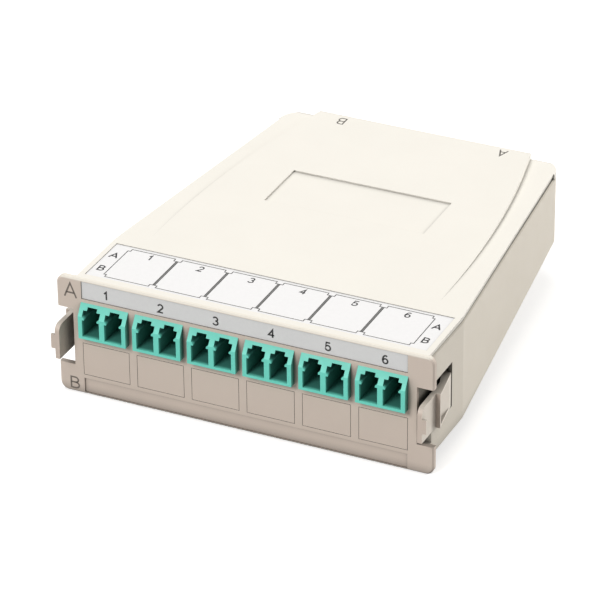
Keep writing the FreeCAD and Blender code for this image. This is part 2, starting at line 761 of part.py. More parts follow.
def cover_recesses(body):
    """The shallow seats of the writing label and of the nameplate."""
    pocket(body, sketch_on(body, "XY", "plate_top", label_loop()), "top_label_recess", way=-1)
    half = "nameplate_width / 2"
    plate = rectangle(f"body_shift - {half}", "nameplate_setback", f"body_shift + {half}",
                      "nameplate_setback + nameplate_depth")
    pocket(body, sketch_on(body, "XY", "plate_top", plate), "nameplate_recess", way=-1)


def cover_lips(body):
    """A lip along each side that drops inside the wall of the shell."""
    outer = "(body_width / 2 - shell_wall - lip_gap)"
    narrowing = "(lip_end - kink_depth) * side_taper"
    corners = [(outer, "lip_start"), (outer, "kink_depth"), (f"{outer} - {narrowing}", "lip_end"),
               (f"{outer} - {narrowing} - lip_thick", "lip_end"), (f"{outer} - lip_thick", "kink_depth"),
               (f"{outer} - lip_thick", "lip_start")]
    right = [(f"body_shift + {x}", y) for x, y in corners]
    left = [(f"body_shift - ({x})", y) for x, y in corners]
    inside = "plate_top - cover_front / 2 - top_label_recess / 2"
    pad(body, sketch_on(body, "XY", inside, right, left), f"{inside} - plate_top + lip_foot", way=-1)


def top_label():
    """The writing label in its recess on the lid."""
    body = new_body("top_label")
    seat = sketch_on(body, "XY", "plate_top - top_label_recess", label_loop("label_gap"))
    pad(body, seat, "label_thick", way=1)
    return body


# ---------------------------------------------------------------- latches

def latch(label, side):
    """A side latch: bead and neck at the rear, ramped grip with a catch step, thumb tip in front."""
    body = new_body(label)
    face = "latch_face"
    inner = f"({face} - latch_thick)"
    neck_in, neck_out = "bead_across - neck_thick / 2", "bead_across + neck_thick / 2"
    bend = "ramp_end - neck_lead"
    outline = [(inner, "-latch_tip"), (face, "-latch_tip"), (face, "catch_setback"),
               (f"{face} + catch_reach", "catch_setback"), ("ramp_foot", "ramp_end"),
               (neck_out, "ramp_end + neck_thick / 4"), (neck_out, "bead_setback"),
               (neck_in, "bead_setback"), (neck_in, bend), (inner, "arm_bend")]
    half = "latch_height / 2"
    pad(body, sketch_on(body, "XY", f"-{half}", turned(outline, side)), "latch_height", way=1)
    bead = ("circle", f"{side} * bead_across", "bead_setback", "bead_radius")
    pad(body, sketch_on(body, "XY", f"-{half}", bead), "latch_height", way=1)
    nub = [(f"{face} - latch_thick / 2", "-latch_tip"), (f"{face} + nub_reach", "-latch_tip"),
           (f"{face} + nub_reach", "nub_length - latch_tip"), (f"{face} - latch_thick / 2", "nub_length - latch_tip")]
    pad(body, sketch_on(body, "XY", "-nub_height / 2", turned(nub, side)), "nub_height", way=1)
    grip = [(f"{face} - grip_floor", "catch_setback + grip_border"), (f"2 * {face}", "catch_setback + grip_border"),
            (f"2 * {face}", "ramp_end - grip_border"), (f"{face} - grip_floor", "ramp_end - grip_border")]
    pocket(body, sketch_on(body, "XY", f"{half} - grip_border", turned(grip, side)),
           "latch_height - 2 * grip_border", way=-1)
    tip, high = -number("latch_tip"), number(half)
    fillet(body, "latch_corner", lambda edge: runs_along(edge, 0) and near(edge.CenterOfMass.y, tip)
           and near(edge.CenterOfMass.z, high))
    return body


def turned(corners, side):
    return corners if side > 0 else mirrored(corners)


# ---------------------------------------------------------------- MPO entry and fibres

def mpo_adapter():
    """The MPO adapter in the rear wall: flange, keyed ports at both ends and a ferrule web."""
    body = new_body("mpo_adapter")
    pad(body, sketch_on(body, "XZ", "mpo_front", centred("0", "0", "mpo_width", "mpo_height")),
        "mpo_length", way=1)
    flange = centred("0", "0", "mpo_flange_width", "mpo_flange_height")
    pad(body, sketch_on(body, "XZ", "body_depth", flange), "mpo_flange_thick", way=1)
    depth = "(mpo_length - mpo_web) / 2"
    pocket(body, sketch_on(body, "XZ", "mpo_back", keyed_port()), depth, way=-1)
    pocket(body, sketch_on(body, "XZ", "mpo_front", keyed_port()), depth, way=1)
    window = centred("0", "0", "(mpo_ferrule_width + mpo_plug_gap)", "(mpo_ferrule_height + mpo_plug_gap)")
    pocket(body, sketch_on(body, "XZ", "mpo_front", window))
    place(body, "body_shift + mpo_offset", "0", "mpo_rise")
    return body


def keyed_port():
    wide, tall = "mpo_port_width / 2", "mpo_port_height / 2"
    right = [(wide, f"-{tall}"), (wide, tall), ("mpo_key_width / 2", tall),
             ("mpo_key_width / 2", f"{tall} + mpo_key_height")]
    return right + mirrored(right)[::-1]


def mpo_blank():
    """The blank in the unused MPO opening."""
    body = new_body("mpo_blank")
    pad(body, sketch_on(body, "XZ", "body_depth", centred("0", "0", "mpo_width", "mpo_height")),
        "2 * shell_wall", way=-1)
    flange = centred("0", "0", "mpo_flange_width", "mpo_flange_height")
    pad(body, sketch_on(body, "XZ", "body_depth", flange), "mpo_flange_thick", way=1)
    place(body, "body_shift - mpo_offset", "0", "mpo_rise")
    return body


def mpo_plug():
    """The MPO plug inside the housing: ferrule, housing in the port, and collar."""
    body = new_body("mpo_plug")
    inside = "((mpo_length - mpo_web) / 2 - mpo_plug_gap)"
    housing = centred("0", "0", "(mpo_port_width - 2 * mpo_plug_gap)", "(mpo_port_height - 2 * mpo_plug_gap)")
    pad(body, sketch_on(body, "XZ", "mpo_front", housing), inside, way=1)
    ferrule = centred("0", "0", "mpo_ferrule_width", "mpo_ferrule_height")
    pad(body, sketch_on(body, "XZ", f"mpo_front + {inside}", ferrule), "mpo_plug_gap + mpo_web / 2", way=1)
    collar = centred("0", "0", "mpo_collar_width", "mpo_collar_height")
    pad(body, sketch_on(body, "XZ", "mpo_front", collar), "mpo_collar_length", way=-1)
    place(body, "body_shift + mpo_offset", "0", "mpo_rise")
    return body


def fibre_comb():
    """The comb that gathers the twelve fibres in front of the plug."""
    body = new_body("fibre_comb")
    block = centred("0", "0", "comb_width", "comb_height")
    pad(body, sketch_on(body, "XZ", "comb_front", block), "comb_length", way=1)
    place(body, "body_shift + mpo_offset", "0", "mpo_rise")
    return body


def fibre_ribbon():
    """The flat ribbon from the comb to the plug."""
    body = new_body("fibre_ribbon")
    start = "comb_front + comb_length"
    ribbon = [("comb_margin - comb_width / 2", start), ("comb_width / 2 - comb_margin", start),
              ("ribbon_width / 2", "plug_tail"), ("-ribbon_width / 2", "plug_tail")]
    pad(body, sketch_on(body, "XY", "0", ribbon), "ribbon_thick", both_sides=True)
    place(body, "body_shift + mpo_offset", "0", "mpo_rise")
    return body


def rounded_route(points):
    """Straight runs joined by tangent arcs, each as large as its runs allow."""
    edges = []
    start = points[0]
    for before, corner, after in zip(points, points[1:], points[2:]):
        back, ahead = (before - corner).normalize(), (after - corner).normalize()
        cut = 0.45 * min((before - corner).Length, (after - corner).Length)
        half_turn = (math.pi - back.getAngle(ahead)) / 2
        radius = cut / math.tan(half_turn)
        entry, leave = corner + back * cut, corner + ahead * cut
        inward = (back + ahead).normalize()
        middle = corner + inward * (radius / math.cos(half_turn) - radius)
        edges += [Part.LineSegment(start, entry).toShape(), Part.Arc(entry, middle, leave).toShape()]
        start = leave
    edges.append(Part.LineSegment(start, points[-1]).toShape())
    return Part.Wire(edges)


def pigtail(port):
    """One fibre in its square jacket, from the boot of its plug to its slot in the comb."""
    across, up = port_centre(port)
    lane = number(f"body_shift + mpo_offset + ({port} - bay_count - 0.5) * comb_pitch")
    start, end, run = number("boot_end"), number("comb_front"), number("fibre_run")
    level, goal = number(up), number("mpo_rise")
    points = [Vector(number(across), start, level), Vector(number(across), start + run, level),
              Vector(lane, end - run, goal), Vector(lane, end, goal)]
    half = number("fibre_size / 2")
    sides = [(half, half), (-half, half), (-half, -half), (half, -half), (half, half)]
    section = Part.makePolygon([points[0] + Vector(x, 0, z) for x, z in sides])
    feature = DOC.addObject("Part::Feature", f"pigtail_{port}")
    feature.Label = f"pigtail_{port}"
    feature.Shape = rounded_route(points).makePipeShell([section], True, False)
    feature.Placement = Placement(Vector(0, 0, 0), Rotation())
    return feature


# ---------------------------------------------------------------- the whole cassette

def build():
    bays = range(1, int(number("bay_count")) + 1)
    ports = range(1, 2 * int(number("bay_count")) + 1)
    pieces = [lower_shell(), top_cover(), front_plate(), top_label(), front_label()]
    pieces += [latch("latch_left", -1), latch("latch_right", 1)]
    pieces += [lc_adapter(bay) for bay in bays]
    pieces += [alignment_sleeve(port) for port in ports]
    pieces += [blank_insert(bay) for bay in bays]
    pieces += [inner_plug(bay) for bay in bays]
    pieces += [mpo_adapter(), mpo_blank(), mpo_plug(), fibre_comb(), fibre_ribbon()]
    pieces += [pigtail(port) for port in ports]
    return pieces


def check(pieces):
    """Stop if any object failed to compute or any sub-part isn't one sound shape."""
    DOC.recompute()
    for item in DOC.Objects:
        if "Invalid" in item.State or "Error" in item.State:
            raise RuntimeError(f"{item.Label} failed: {item.State}")
    for piece in pieces:
        if piece.Shape.isNull() or not piece.Shape.isValid():
            raise RuntimeError(f"{piece.Label} has no valid shape")
        if len(piece.Shape.Solids) != 1:
            raise RuntimeError(f"{piece.Label} has {len(piece.Shape.Solids)} solids")


def write(pieces):
    os.makedirs("parts", exist_ok=True)
    for piece in pieces:
        piece.Shape.exportStep(f"parts/{piece.Label}.step")


fill_sheet()
PIECES = build()
check(PIECES)
write(PIECES)
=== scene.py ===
import math

import bmesh
import bpy
from mathutils import Matrix, Vector

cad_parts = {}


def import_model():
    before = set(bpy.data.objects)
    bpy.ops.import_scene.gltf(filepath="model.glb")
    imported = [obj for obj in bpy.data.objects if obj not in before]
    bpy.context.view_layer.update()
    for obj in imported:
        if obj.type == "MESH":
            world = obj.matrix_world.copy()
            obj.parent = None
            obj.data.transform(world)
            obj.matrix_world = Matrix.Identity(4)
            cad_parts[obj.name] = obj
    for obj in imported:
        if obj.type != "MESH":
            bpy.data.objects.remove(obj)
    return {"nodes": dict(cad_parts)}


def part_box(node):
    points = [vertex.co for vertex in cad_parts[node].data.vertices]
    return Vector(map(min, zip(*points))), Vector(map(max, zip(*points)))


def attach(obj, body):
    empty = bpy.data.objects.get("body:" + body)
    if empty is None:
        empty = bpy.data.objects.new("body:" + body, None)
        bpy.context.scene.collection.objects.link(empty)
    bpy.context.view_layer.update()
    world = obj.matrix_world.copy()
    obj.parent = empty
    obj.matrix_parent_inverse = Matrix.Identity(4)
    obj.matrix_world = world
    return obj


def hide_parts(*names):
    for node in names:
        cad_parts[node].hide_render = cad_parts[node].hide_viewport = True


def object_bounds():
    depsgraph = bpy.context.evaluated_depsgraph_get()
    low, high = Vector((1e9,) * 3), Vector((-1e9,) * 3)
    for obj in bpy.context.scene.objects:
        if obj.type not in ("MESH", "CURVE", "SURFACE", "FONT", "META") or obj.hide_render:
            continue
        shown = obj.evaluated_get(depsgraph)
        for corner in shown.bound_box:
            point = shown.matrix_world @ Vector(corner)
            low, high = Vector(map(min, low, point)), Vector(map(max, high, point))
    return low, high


MM = 0.001

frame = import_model()
cad_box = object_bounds()
cad_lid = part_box("top_cover")


def linear(rgb):
    """An sRGB colour of 0 to 255 as linear values."""
    values = [channel / 255 for channel in rgb]
    return [v / 12.92 if v <= 0.04045 else ((v + 0.055) / 1.055) ** 2.4 for v in values] + [1.0]


# ---------------------------------------------------------------- materials

def new_material(name):
    """An empty material with its nodes, its links and a surface shader."""
    material = bpy.data.materials.new(name)
    material.use_nodes = True
    nodes = material.node_tree.nodes
    nodes.clear()
    output = nodes.new("ShaderNodeOutputMaterial")
    shader = nodes.new("ShaderNodeBsdfPrincipled")
    material.node_tree.links.new(shader.outputs["BSDF"], output.inputs["Surface"])
    return material, nodes, material.node_tree.links, shader


def noise(nodes, links, scale, detail=3.0, roughness=0.55):
    """Noise over object coordinates, with the scale in features per metre."""
    place = nodes.new("ShaderNodeTexCoord")
    texture = nodes.new("ShaderNodeTexNoise")
    texture.inputs["Scale"].default_value = scale
    texture.inputs["Detail"].default_value = detail
    texture.inputs["Roughness"].default_value = roughness
    links.new(place.outputs["Object"], texture.inputs["Vector"])
    return texture.outputs["Fac"]


def ramp(nodes, links, value, low, high, start=0.35, end=0.65):
    """Map a value onto a range of colours or greys."""
    node = nodes.new("ShaderNodeValToRGB")
    node.color_ramp.elements[0].position = start
    node.color_ramp.elements[1].position = end
    node.color_ramp.elements[0].color = low
    node.color_ramp.elements[1].color = high
    links.new(value, node.inputs["Fac"])
    return node.outputs["Color"]


def grey(value):
    """A linear grey of the same value in every channel."""
    return (value, value, value, 1.0)


def shade(colour, factor):
    """A linear colour with its channels scaled."""
    return [channel * factor for channel in colour[:3]] + [1.0]


def mapped(nodes, links, value, start, end, low, high):
    """Map a value between start and end onto low to high, clamped at both ends."""
    scale = nodes.new("ShaderNodeMapRange")
    for name, limit in (("From Min", start), ("From Max", end), ("To Min", low), ("To Max", high)):
        scale.inputs[name].default_value = limit
    links.new(value, scale.inputs["Value"])
    return scale.outputs["Result"]


def along(nodes, links, axis):
    """Place on the object along an axis, in metres."""
    place = nodes.new("ShaderNodeTexCoord")
    split = nodes.new("ShaderNodeSeparateXYZ")
    links.new(place.outputs["Object"], split.inputs["Vector"])
    return split.outputs[axis]


def facing(nodes, links, axis):
    """How far a face looks along an axis, from -1 to 1."""
    way = nodes.new("ShaderNodeNewGeometry")
    split = nodes.new("ShaderNodeSeparateXYZ")
    links.new(way.outputs["True Normal"], split.inputs["Vector"])
    return split.outputs[axis]


def looking_out(nodes, links):
    """A mask of the faces that look out of the front: 1 where square to it, less where they slope."""
    return mapped(nodes, links, facing(nodes, links, "Y"), -0.95, -0.3, 1.0, 0.0)


def shade_on_ledges(nodes, links, depth):
    """A factor below 1 on faces that look up, for the shade of what overhangs them."""
    return mapped(nodes, links, facing(nodes, links, "Z"), 0.4, 0.9, 1.0, depth)


def shade_toward_middle(nodes, links, depth):
    """A factor below 1 on faces that look toward the part's middle plane, for the ears' shade."""
    product = nodes.new("ShaderNodeMath")
    product.operation = "MULTIPLY"
    links.new(facing(nodes, links, "X"), product.inputs[0])
    links.new(along(nodes, links, "X"), product.inputs[1])
    return mapped(nodes, links, product.outputs["Value"], -30 * MM, -10 * MM, depth, 1.0)


def blended(nodes, links, factor, first, second, kind="MIX"):
    """Mix two colours, where the factor and either colour may be a fixed value."""
    mix = nodes.new("ShaderNodeMix")
    mix.data_type = "RGBA"
    mix.blend_type = kind
    for socket, value in (("Factor", factor), ("A", first), ("B", second)):
        if isinstance(value, bpy.types.NodeSocket):
            links.new(value, mix.inputs[socket])
        else:
            mix.inputs[socket].default_value = value
    return mix.outputs["Result"]


def shaded(nodes, links, tint, factor):
    """Multiply a colour by a factor."""
    return blended(nodes, links, 1.0, tint, factor, "MULTIPLY")


def painted_crevice_shade(nodes, links, tint, reach, depth):
    """Painted shade: darken the colour where a surface lies in a corner, groove or cavity, as
    occlusion would shade it.
    """
    hollow = nodes.new("ShaderNodeAmbientOcclusion")
    hollow.samples = 8
    hollow.inputs["Distance"].default_value = reach * MM
    power = nodes.new("ShaderNodeMath")
    power.operation = "POWER"
    power.inputs[1].default_value = depth
    links.new(hollow.outputs["AO"], power.inputs[0])
    return shaded(nodes, links, tint, power.outputs["Value"])


def bumped(nodes, links, shader, height, strength, depth):
    """Raise a fine texture on the surface, to a depth in millimetres."""
    bump = nodes.new("ShaderNodeBump")
    bump.inputs["Strength"].default_value = strength
    bump.inputs["Distance"].default_value = depth * MM
    links.new(height, bump.inputs["Height"])
    links.new(bump.outputs["Normal"], shader.inputs["Normal"])


def moulded(name, rgb, roughness=0.5, mottle=0.985, reach=2.0, depth=1.5,
            ledges=None, top_highlight=None, inner=None, front=None, bore_shade=None):
    """Moulded plastic: spark-eroded grain, faint flow mottling and slightly uneven gloss.

    reach and depth set the painted shade in crevices. The others paint light and shade by place:
    ledges, a factor of painted shade on faces that look up below the top edge; top_highlight, a
    painted highlight (colour, from z, to z); inner, a factor of painted shade on faces that look
    toward the middle; front, the painted-shade colour of faces that look out of the front; bore,
    painted shade (from y, to y, near factor, far factor) inside an opening.
    """
    material, nodes, links, shader = new_material(name)
    colour = linear(rgb)
    tint = ramp(nodes, links, noise(nodes, links, 55.0, 2.0), shade(colour, mottle), colour)
    # Painted shade on faces that look up, under what overhangs them.
    if ledges:
        dark = shaded(nodes, links, tint, shade_on_ledges(nodes, links, ledges))
        above = mapped(nodes, links, along(nodes, links, "Z"), 9.0 * MM, 11.0 * MM, 0.0, 1.0)
        tint = blended(nodes, links, above, dark, tint)
    # Painted highlight: a paler colour from a height up, where the top edge catches the light.
    if top_highlight:
        edge, low, high = top_highlight
        rise = mapped(nodes, links, along(nodes, links, "Z"), low * MM, high * MM, 0.0, 1.0)
        tint = blended(nodes, links, rise, tint, linear(edge))
    # Painted shade on faces that look toward the middle.
    if inner:
        tint = shaded(nodes, links, tint, shade_toward_middle(nodes, links, inner))
    # Painted shade: a darker colour on faces that look out of the front, where less light falls.
    if front:
        tint = blended(nodes, links, looking_out(nodes, links), tint, linear(front))
    # Painted shade that deepens from the mouth into the opening.
    if bore_shade:
        mouth, inside, near, far = bore_shade
        fade = mapped(nodes, links, along(nodes, links, "Y"), mouth * MM, inside * MM, near, far)
        tint = blended(nodes, links, looking_out(nodes, links), shaded(nodes, links, tint, fade), tint)
    # Painted shade in crevices.
    links.new(painted_crevice_shade(nodes, links, tint, reach, depth), shader.inputs["Base Color"])
    patch = noise(nodes, links, 260.0, 4.0)
    gloss = ramp(nodes, links, patch, grey(roughness - 0.05), grey(roughness + 0.06))
    links.new(gloss, shader.inputs["Roughness"])
    shader.inputs["Specular IOR Level"].default_value = 0.35
    bumped(nodes, links, shader, noise(nodes, links, 2600.0, 2.0, 0.7), 0.5, 0.012)
    return material


def card(name, rgb):
    """Coated label card: faint paper fibres, a soft satin surface and painted shade where it meets the
    walls of its recess.
    """
    material, nodes, links, shader = new_material(name)
    colour = linear(rgb)
    fibres = noise(nodes, links, 900.0, 5.0, 0.7)
    tint = ramp(nodes, links, fibres, shade(colour, 0.975), colour)
    links.new(painted_crevice_shade(nodes, links, tint, 2.5, 0.8), shader.inputs["Base Color"])
    shader.inputs["Roughness"].default_value = 0.42
    shader.inputs["Specular IOR Level"].default_value = 0.4
    bumped(nodes, links, shader, fibres, 0.25, 0.006)
    return material


def ink(name, rgb):
    """Printed ink with a slightly uneven film; also the painted shade of engraved letters."""
    material, nodes, links, shader = new_material(name)
    colour = linear(rgb)
    film = noise(nodes, links, 1500.0, 3.0)
    links.new(ramp(nodes, links, film, shade(colour, 0.85), colour), shader.inputs["Base Color"])
    shader.inputs["Roughness"].default_value = 0.55
    return material


def polished(name, rgb, roughness=0.15):
    """Hard polished surface, such as zirconia, with a trace of haze."""
    material, nodes, links, shader = new_material(name)
    colour = linear(rgb)
    haze = noise(nodes, links, 800.0, 3.0)
    links.new(ramp(nodes, links, haze, shade(colour, 0.97), colour), shader.inputs["Base Color"])
    gloss = ramp(nodes, links, haze, grey(roughness), grey(roughness + 0.08))
    links.new(gloss, shader.inputs["Roughness"])
    shader.inputs["Coat Weight"].default_value = 0.3
    return material


ADAPTER_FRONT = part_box("lc_adapter_1")[0][1] / MM
# Each plastic's reach and depth set the painted shade in its crevices.
COVER = moulded("cover_plastic", (247, 244, 236), 0.55, reach=1.0, depth=0.9)
SHELL = moulded("shell_plastic", (236, 229, 216), 0.55, reach=7.0)
# The plate's tone, darker and warmer than the lid's, is painted shade for its front faces;
# top_highlight paints its top edge a pale highlight and ledges paint shade on its low upward faces.
PLATE = moulded("plate_plastic", (228, 214, 202), 0.55, reach=3.0, depth=0.9,
                top_highlight=((243, 238, 227), 16.3, 16.7), ledges=0.55)
# Painted shade on the latches: a darker colour on faces that look out of the front, and darker faces
# toward the middle and facing up.
LATCH = moulded("latch_plastic", (242, 233, 221), 0.45, reach=3.5, depth=0.8, front=(220, 205, 193),
                inner=0.7, ledges=0.7)
# Painted shade that deepens inside the ports' openings.
AQUA = moulded("adapter_plastic", (125, 240, 221), 0.42, mottle=0.97, reach=1.5, depth=0.5,
               bore_shade=(ADAPTER_FRONT + 0.1, ADAPTER_FRONT + 1.2, 1.0, 0.3))
BLACK = moulded("black_plastic", (32, 33, 35), 0.42)
BEIGE = moulded("plug_plastic", (205, 196, 172), 0.42)
FIBRE = polished("fibre_coating", (80, 190, 190), 0.3)
ZIRCONIA = polished("zirconia", (240, 238, 230), 0.12)
WHITE_CARD = card("white_card", (247, 247, 248))
GREY_CARD = card("grey_card", (239, 240, 241))
INK = ink("dark_ink", (28, 28, 30))
LINE_INK = ink("line_ink", (62, 62, 61))
THIN_INK = ink("grey_ink", (128, 128, 126))
# Painted shade of engraved letters, drawn as ink on the ear and the lid.
ENGRAVED = ink("engraved_shadow", (122, 113, 105))
ENGRAVED_TOP = ink("engraved_top_shadow", (112, 108, 101))

BY_PREFIX = {
    "lc_adapter": AQUA, "inner_plug": BEIGE, "alignment_sleeve": ZIRCONIA, "pigtail": FIBRE,
    "fibre_ribbon": FIBRE, "blank_insert": PLATE, "front_plate": PLATE, "latch": LATCH,
    "top_cover": COVER, "top_label": WHITE_CARD, "front_label": GREY_CARD, "mpo_adapter": BLACK,
    "mpo_plug": AQUA, "fibre_comb": BLACK, "mpo_blank": SHELL, "lower_shell": SHELL,
}


def material_for(node):
    """The material of a node, by how its name starts."""
    return next(material for prefix, material in BY_PREFIX.items() if node.startswith(prefix))


for name, node in frame["nodes"].items():
    node.data.materials.clear()
    node.data.materials.append(material_for(name))


# ---------------------------------------------------------------- edges and the lid

# Both ends of the wings' slope as (y, z), and the distance within which corners are one.
WING_SLOPE = ((25.5, 17.0), (106.9, 15.676))
WELD = 0.0005 * MM


def soften(name, width, angle=35):
    """Break the edges of a moulding that are sharper than an angle, so that they catch the light."""
    node = frame["nodes"][name]
    merge = node.modifiers.new("flat_faces", "DECIMATE")
    merge.decimate_type = "DISSOLVE"
    merge.angle_limit = math.radians(0.5)
    bevel = node.modifiers.new("edge_break", "BEVEL")
    bevel.width = width * MM
    bevel.segments = 2
    bevel.limit_method = "ANGLE"
    bevel.angle_limit = math.radians(angle)
    bevel.use_clamp_overlap = True
    even = node.modifiers.new("even_shading", "WEIGHTED_NORMAL")
    even.mode = "FACE_AREA_WITH_ANGLE"
    even.keep_sharp = True


def rigid_piece(name, mesh, material):
    """Turn a finished bmesh into a piece that rides the housing."""
    data = bpy.data.meshes.new(name)
    mesh.to_mesh(data)
    mesh.free()
    piece = bpy.data.objects.new(name, data)
    bpy.context.collection.objects.link(piece)
    data.materials.append(material)
    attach(piece, "housing")
    return piece


def wing_height(y):
    """Height of the lid's wings: level with the field in front, then sloping to the rear edge."""
    (start, top), (end, rear) = WING_SLOPE
    return top - (top - rear) * min(max((y - start) / (end - start), 0), 1)


def is_proud_lip(x, y, z):
    """Whether a corner of the lid is at the rear end of a side lip, where it stands above the wing."""
    middle = (cad_lid[0][0] + cad_lid[1][0]) / 2 / MM
    beside_the_field = abs(x - middle) > 34
    toward_the_rear = 60 < y < 100
    below_the_field = z < 16.9
    above_the_wing = z > wing_height(y) + 0.01
    return beside_the_field and toward_the_rear and below_the_field and above_the_wing


def smooth_lid():
    """The lid from its solid, with the rear ends of the side lips dressed flush with the wings."""
    mesh = bmesh.new()
    mesh.from_mesh(frame["nodes"]["top_cover"].data)
    bmesh.ops.remove_doubles(mesh, verts=mesh.verts, dist=WELD)
    for vertex in mesh.verts:
        x, y, z = vertex.co / MM
        if is_proud_lip(x, y, z):
            vertex.co.z = wing_height(y) * MM
    bmesh.ops.dissolve_degenerate(mesh, dist=WELD, edges=mesh.edges)
    bmesh.ops.dissolve_limit(mesh, angle_limit=math.radians(0.3), verts=mesh.verts, edges=mesh.edges)
    piece = rigid_piece("smooth_lid", mesh, COVER)
    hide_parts("top_cover")


# ---------------------------------------------------------------- print and engraving

# How far print stands off its face, and the (across, up) axes of the faces that carry it.
PRINT_LIFT = 0.02
FLAT = ((1, 0, 0), (0, 1, 0))
UPRIGHT = ((1, 0, 0), (0, 0, 1))
FROM_BEHIND = ((-1, 0, 0), (0, -1, 0))


def arc(x, y, across, up, start, end, steps=12):
    """Points along part of an ellipse, from one angle to another in degrees."""
    turns = [math.radians(start + (end - start) * step / steps) for step in range(steps + 1)]
    return [(x + across * math.cos(turn), y + up * math.sin(turn)) for turn in turns]


# Middle lines of the plain letters and numbers, one unit tall about their centre.
STROKES = {
    "1": [[(-0.2, 0.25), (0.06, 0.5), (0.06, -0.5)]],
    "2": [arc(0.0, 0.22, 0.28, 0.28, 165, -35) + [(-0.29, -0.5), (0.3, -0.5)]],
    "3": [arc(-0.02, 0.25, 0.26, 0.25, 155, -90), arc(-0.02, -0.23, 0.3, 0.27, 80, -160)],
    "4": [[(0.14, -0.5), (0.14, 0.5), (-0.32, -0.18), (0.33, -0.18)]],
    "5": [[(0.26, 0.5), (-0.18, 0.5), (-0.25, -0.02)] + arc(-0.01, -0.18, 0.3, 0.32, 135, -160)],
    "6": [arc(0.02, -0.2, 0.28, 0.3, 180, -180, 20), arc(0.06, -0.12, 0.34, 0.62, 185, 60)],
    "A": [[(-0.38, -0.5), (0.0, 0.5), (0.38, -0.5)], [(-0.26, -0.17), (0.26, -0.17)]],
    "B": [[(0.04, 0.02), (-0.3, 0.02), (-0.3, 0.5)] + arc(0.04, 0.26, 0.24, 0.24, 90, -90),
          [(-0.3, 0.02), (-0.3, -0.5)] + arc(0.06, -0.24, 0.28, 0.26, -90, 90)],
}


def ribbon(mesh, points, width, closed, lift):
    """Add a flat, mitred line of even width to a mesh. lift puts a flat point in space."""
    path = [Vector(point) for point in points]
    count = len(path)
    runs = range(count if closed else count - 1)
    ways = [(path[(run + 1) % count] - path[run]).normalized() for run in runs]
    sides = []
    for index, point in enumerate(path):
        before = ways[index - 1] if index or closed else ways[0]
        after = ways[index] if index < len(ways) else ways[-1]
        lean = (before + after).normalized()
        normal = Vector((-lean.y, lean.x))
        reach = normal * width / 2 / max(lean.dot(after), 0.3)
        sides.append([mesh.verts.new(lift(point - reach)), mesh.verts.new(lift(point + reach))])
    for run in runs:
        (low, high), (next_low, next_high) = sides[run], sides[(run + 1) % count]
        mesh.faces.new((low, next_low, next_high, high))


def printed(name, lines, width, lift, material):
    """A piece of print on the housing. A line is (points, closed)."""
    mesh = bmesh.new()
    for points, closed in lines:
        ribbon(mesh, points, width, closed, lift)
    rigid_piece(name, mesh, material)


def flat_at(level):
    """Lift flat points in millimetres onto a level face."""
    return lambda point: Vector((point.x * MM, point.y * MM, level * MM))


def lettering(name, letter, place, size, axes, stroke, material):
    """A letter or number of a size (across, up), centred at a place on a face with its own axes."""
    centre, across, up = Vector(place), Vector(axes[0]), Vector(axes[1])

    def lift(point):
        return (centre + across * point.x + up * point.y) * MM

    tall = size[1] - stroke
    lines = [([(x * size[0], y * tall) for x, y in line], False) for line in STROKES[letter]]
    printed(name, lines, stroke, lift, material)


def stepped_field(left, right, front, back, step, rise):
    """Outline of a writing field with a small step at each corner."""
    return [(left + step, front), (right - step, front), (right - step, front + rise),
            (right, front + rise), (right, back - rise), (right - step, back - rise),
            (right - step, back), (left + step, back), (left + step, back - rise),
            (left, back - rise), (left, front + rise), (left + step, front + rise)]


def label_print():
    """Six numbered fields with stepped corners, and the row letters in both margins."""
    low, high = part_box("top_label")
    middle = (low[0] + high[0]) / 2 / MM
    level = high[2] / MM
    front, back = low[1] / MM + 0.95, high[1] / MM - 1.05
    pitch, gap, step, rise, overhang = 14.18, 0.26, 0.72, 1.05, 0.4
    fields, seams = [], []
    for field in range(6):
        left = middle + (field - 3) * pitch + gap
        right = middle + (field - 2) * pitch - gap
        fields.append((stepped_field(left, right, front, back, step, rise), True))
        lettering(f"label_number_{field + 1}", str(field + 1),
                  ((left + right) / 2, back - 2.1, level + PRINT_LIFT), (2.2, 2.6), FLAT, 0.35, INK)
        if field:
            seams.append(left - gap)
    gaps = [([(seam, front + rise), (seam, back - rise)], False) for seam in seams]
    bridges = [([(seam - overhang, y), (seam + overhang, y)], False)
               for y in (front + rise, back - rise) for seam in seams]
    printed("label_gaps", gaps, 2 * gap, flat_at(level + PRINT_LIFT / 2), THIN_INK)
    printed("label_bridges", bridges, 0.22, flat_at(level + PRINT_LIFT), LINE_INK)
    printed("label_fields", fields, 0.22, flat_at(level + PRINT_LIFT), LINE_INK)
    for side, word in ((-1, "left"), (1, "right")):
        for letter, y, size in (("A", 13.3, (2.8, 2.7)), ("B", 6.2, (2.3, 2.7))):
            lettering(f"label_letter_{letter}_{word}", letter,
                      (middle + side * 44.35, y, level + PRINT_LIFT), size, FLAT, 0.4, INK)


def strip_print():
    """The numbers of the bays on the strip above the adapters."""
    low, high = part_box("front_label")
    up = (low[2] + high[2]) / 2 / MM
    for bay in range(6):
        left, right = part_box(f"lc_adapter_{bay + 1}")
        across = (left[0] + right[0]) / 2 / MM + 0.4
        lettering(f"strip_number_{bay + 1}", str(bay + 1),
                  (across, low[1] / MM - PRINT_LIFT, up - 0.25), (2.3, 2.6), UPRIGHT, 0.42, INK)


def plate_letters():
    """The row letters engraved in the left ear, drawn as their painted shade."""
    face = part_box("front_plate")[0][1] / MM - PRINT_LIFT
    for letter, across, up, size in (("A", -47.66, 13.3, (4.4, 4.4)), ("B", -47.4, -13.5, (3.5, 3.5))):
        lettering(f"ear_letter_{letter}", letter, (across, face, up), size, UPRIGHT, 0.42, ENGRAVED)


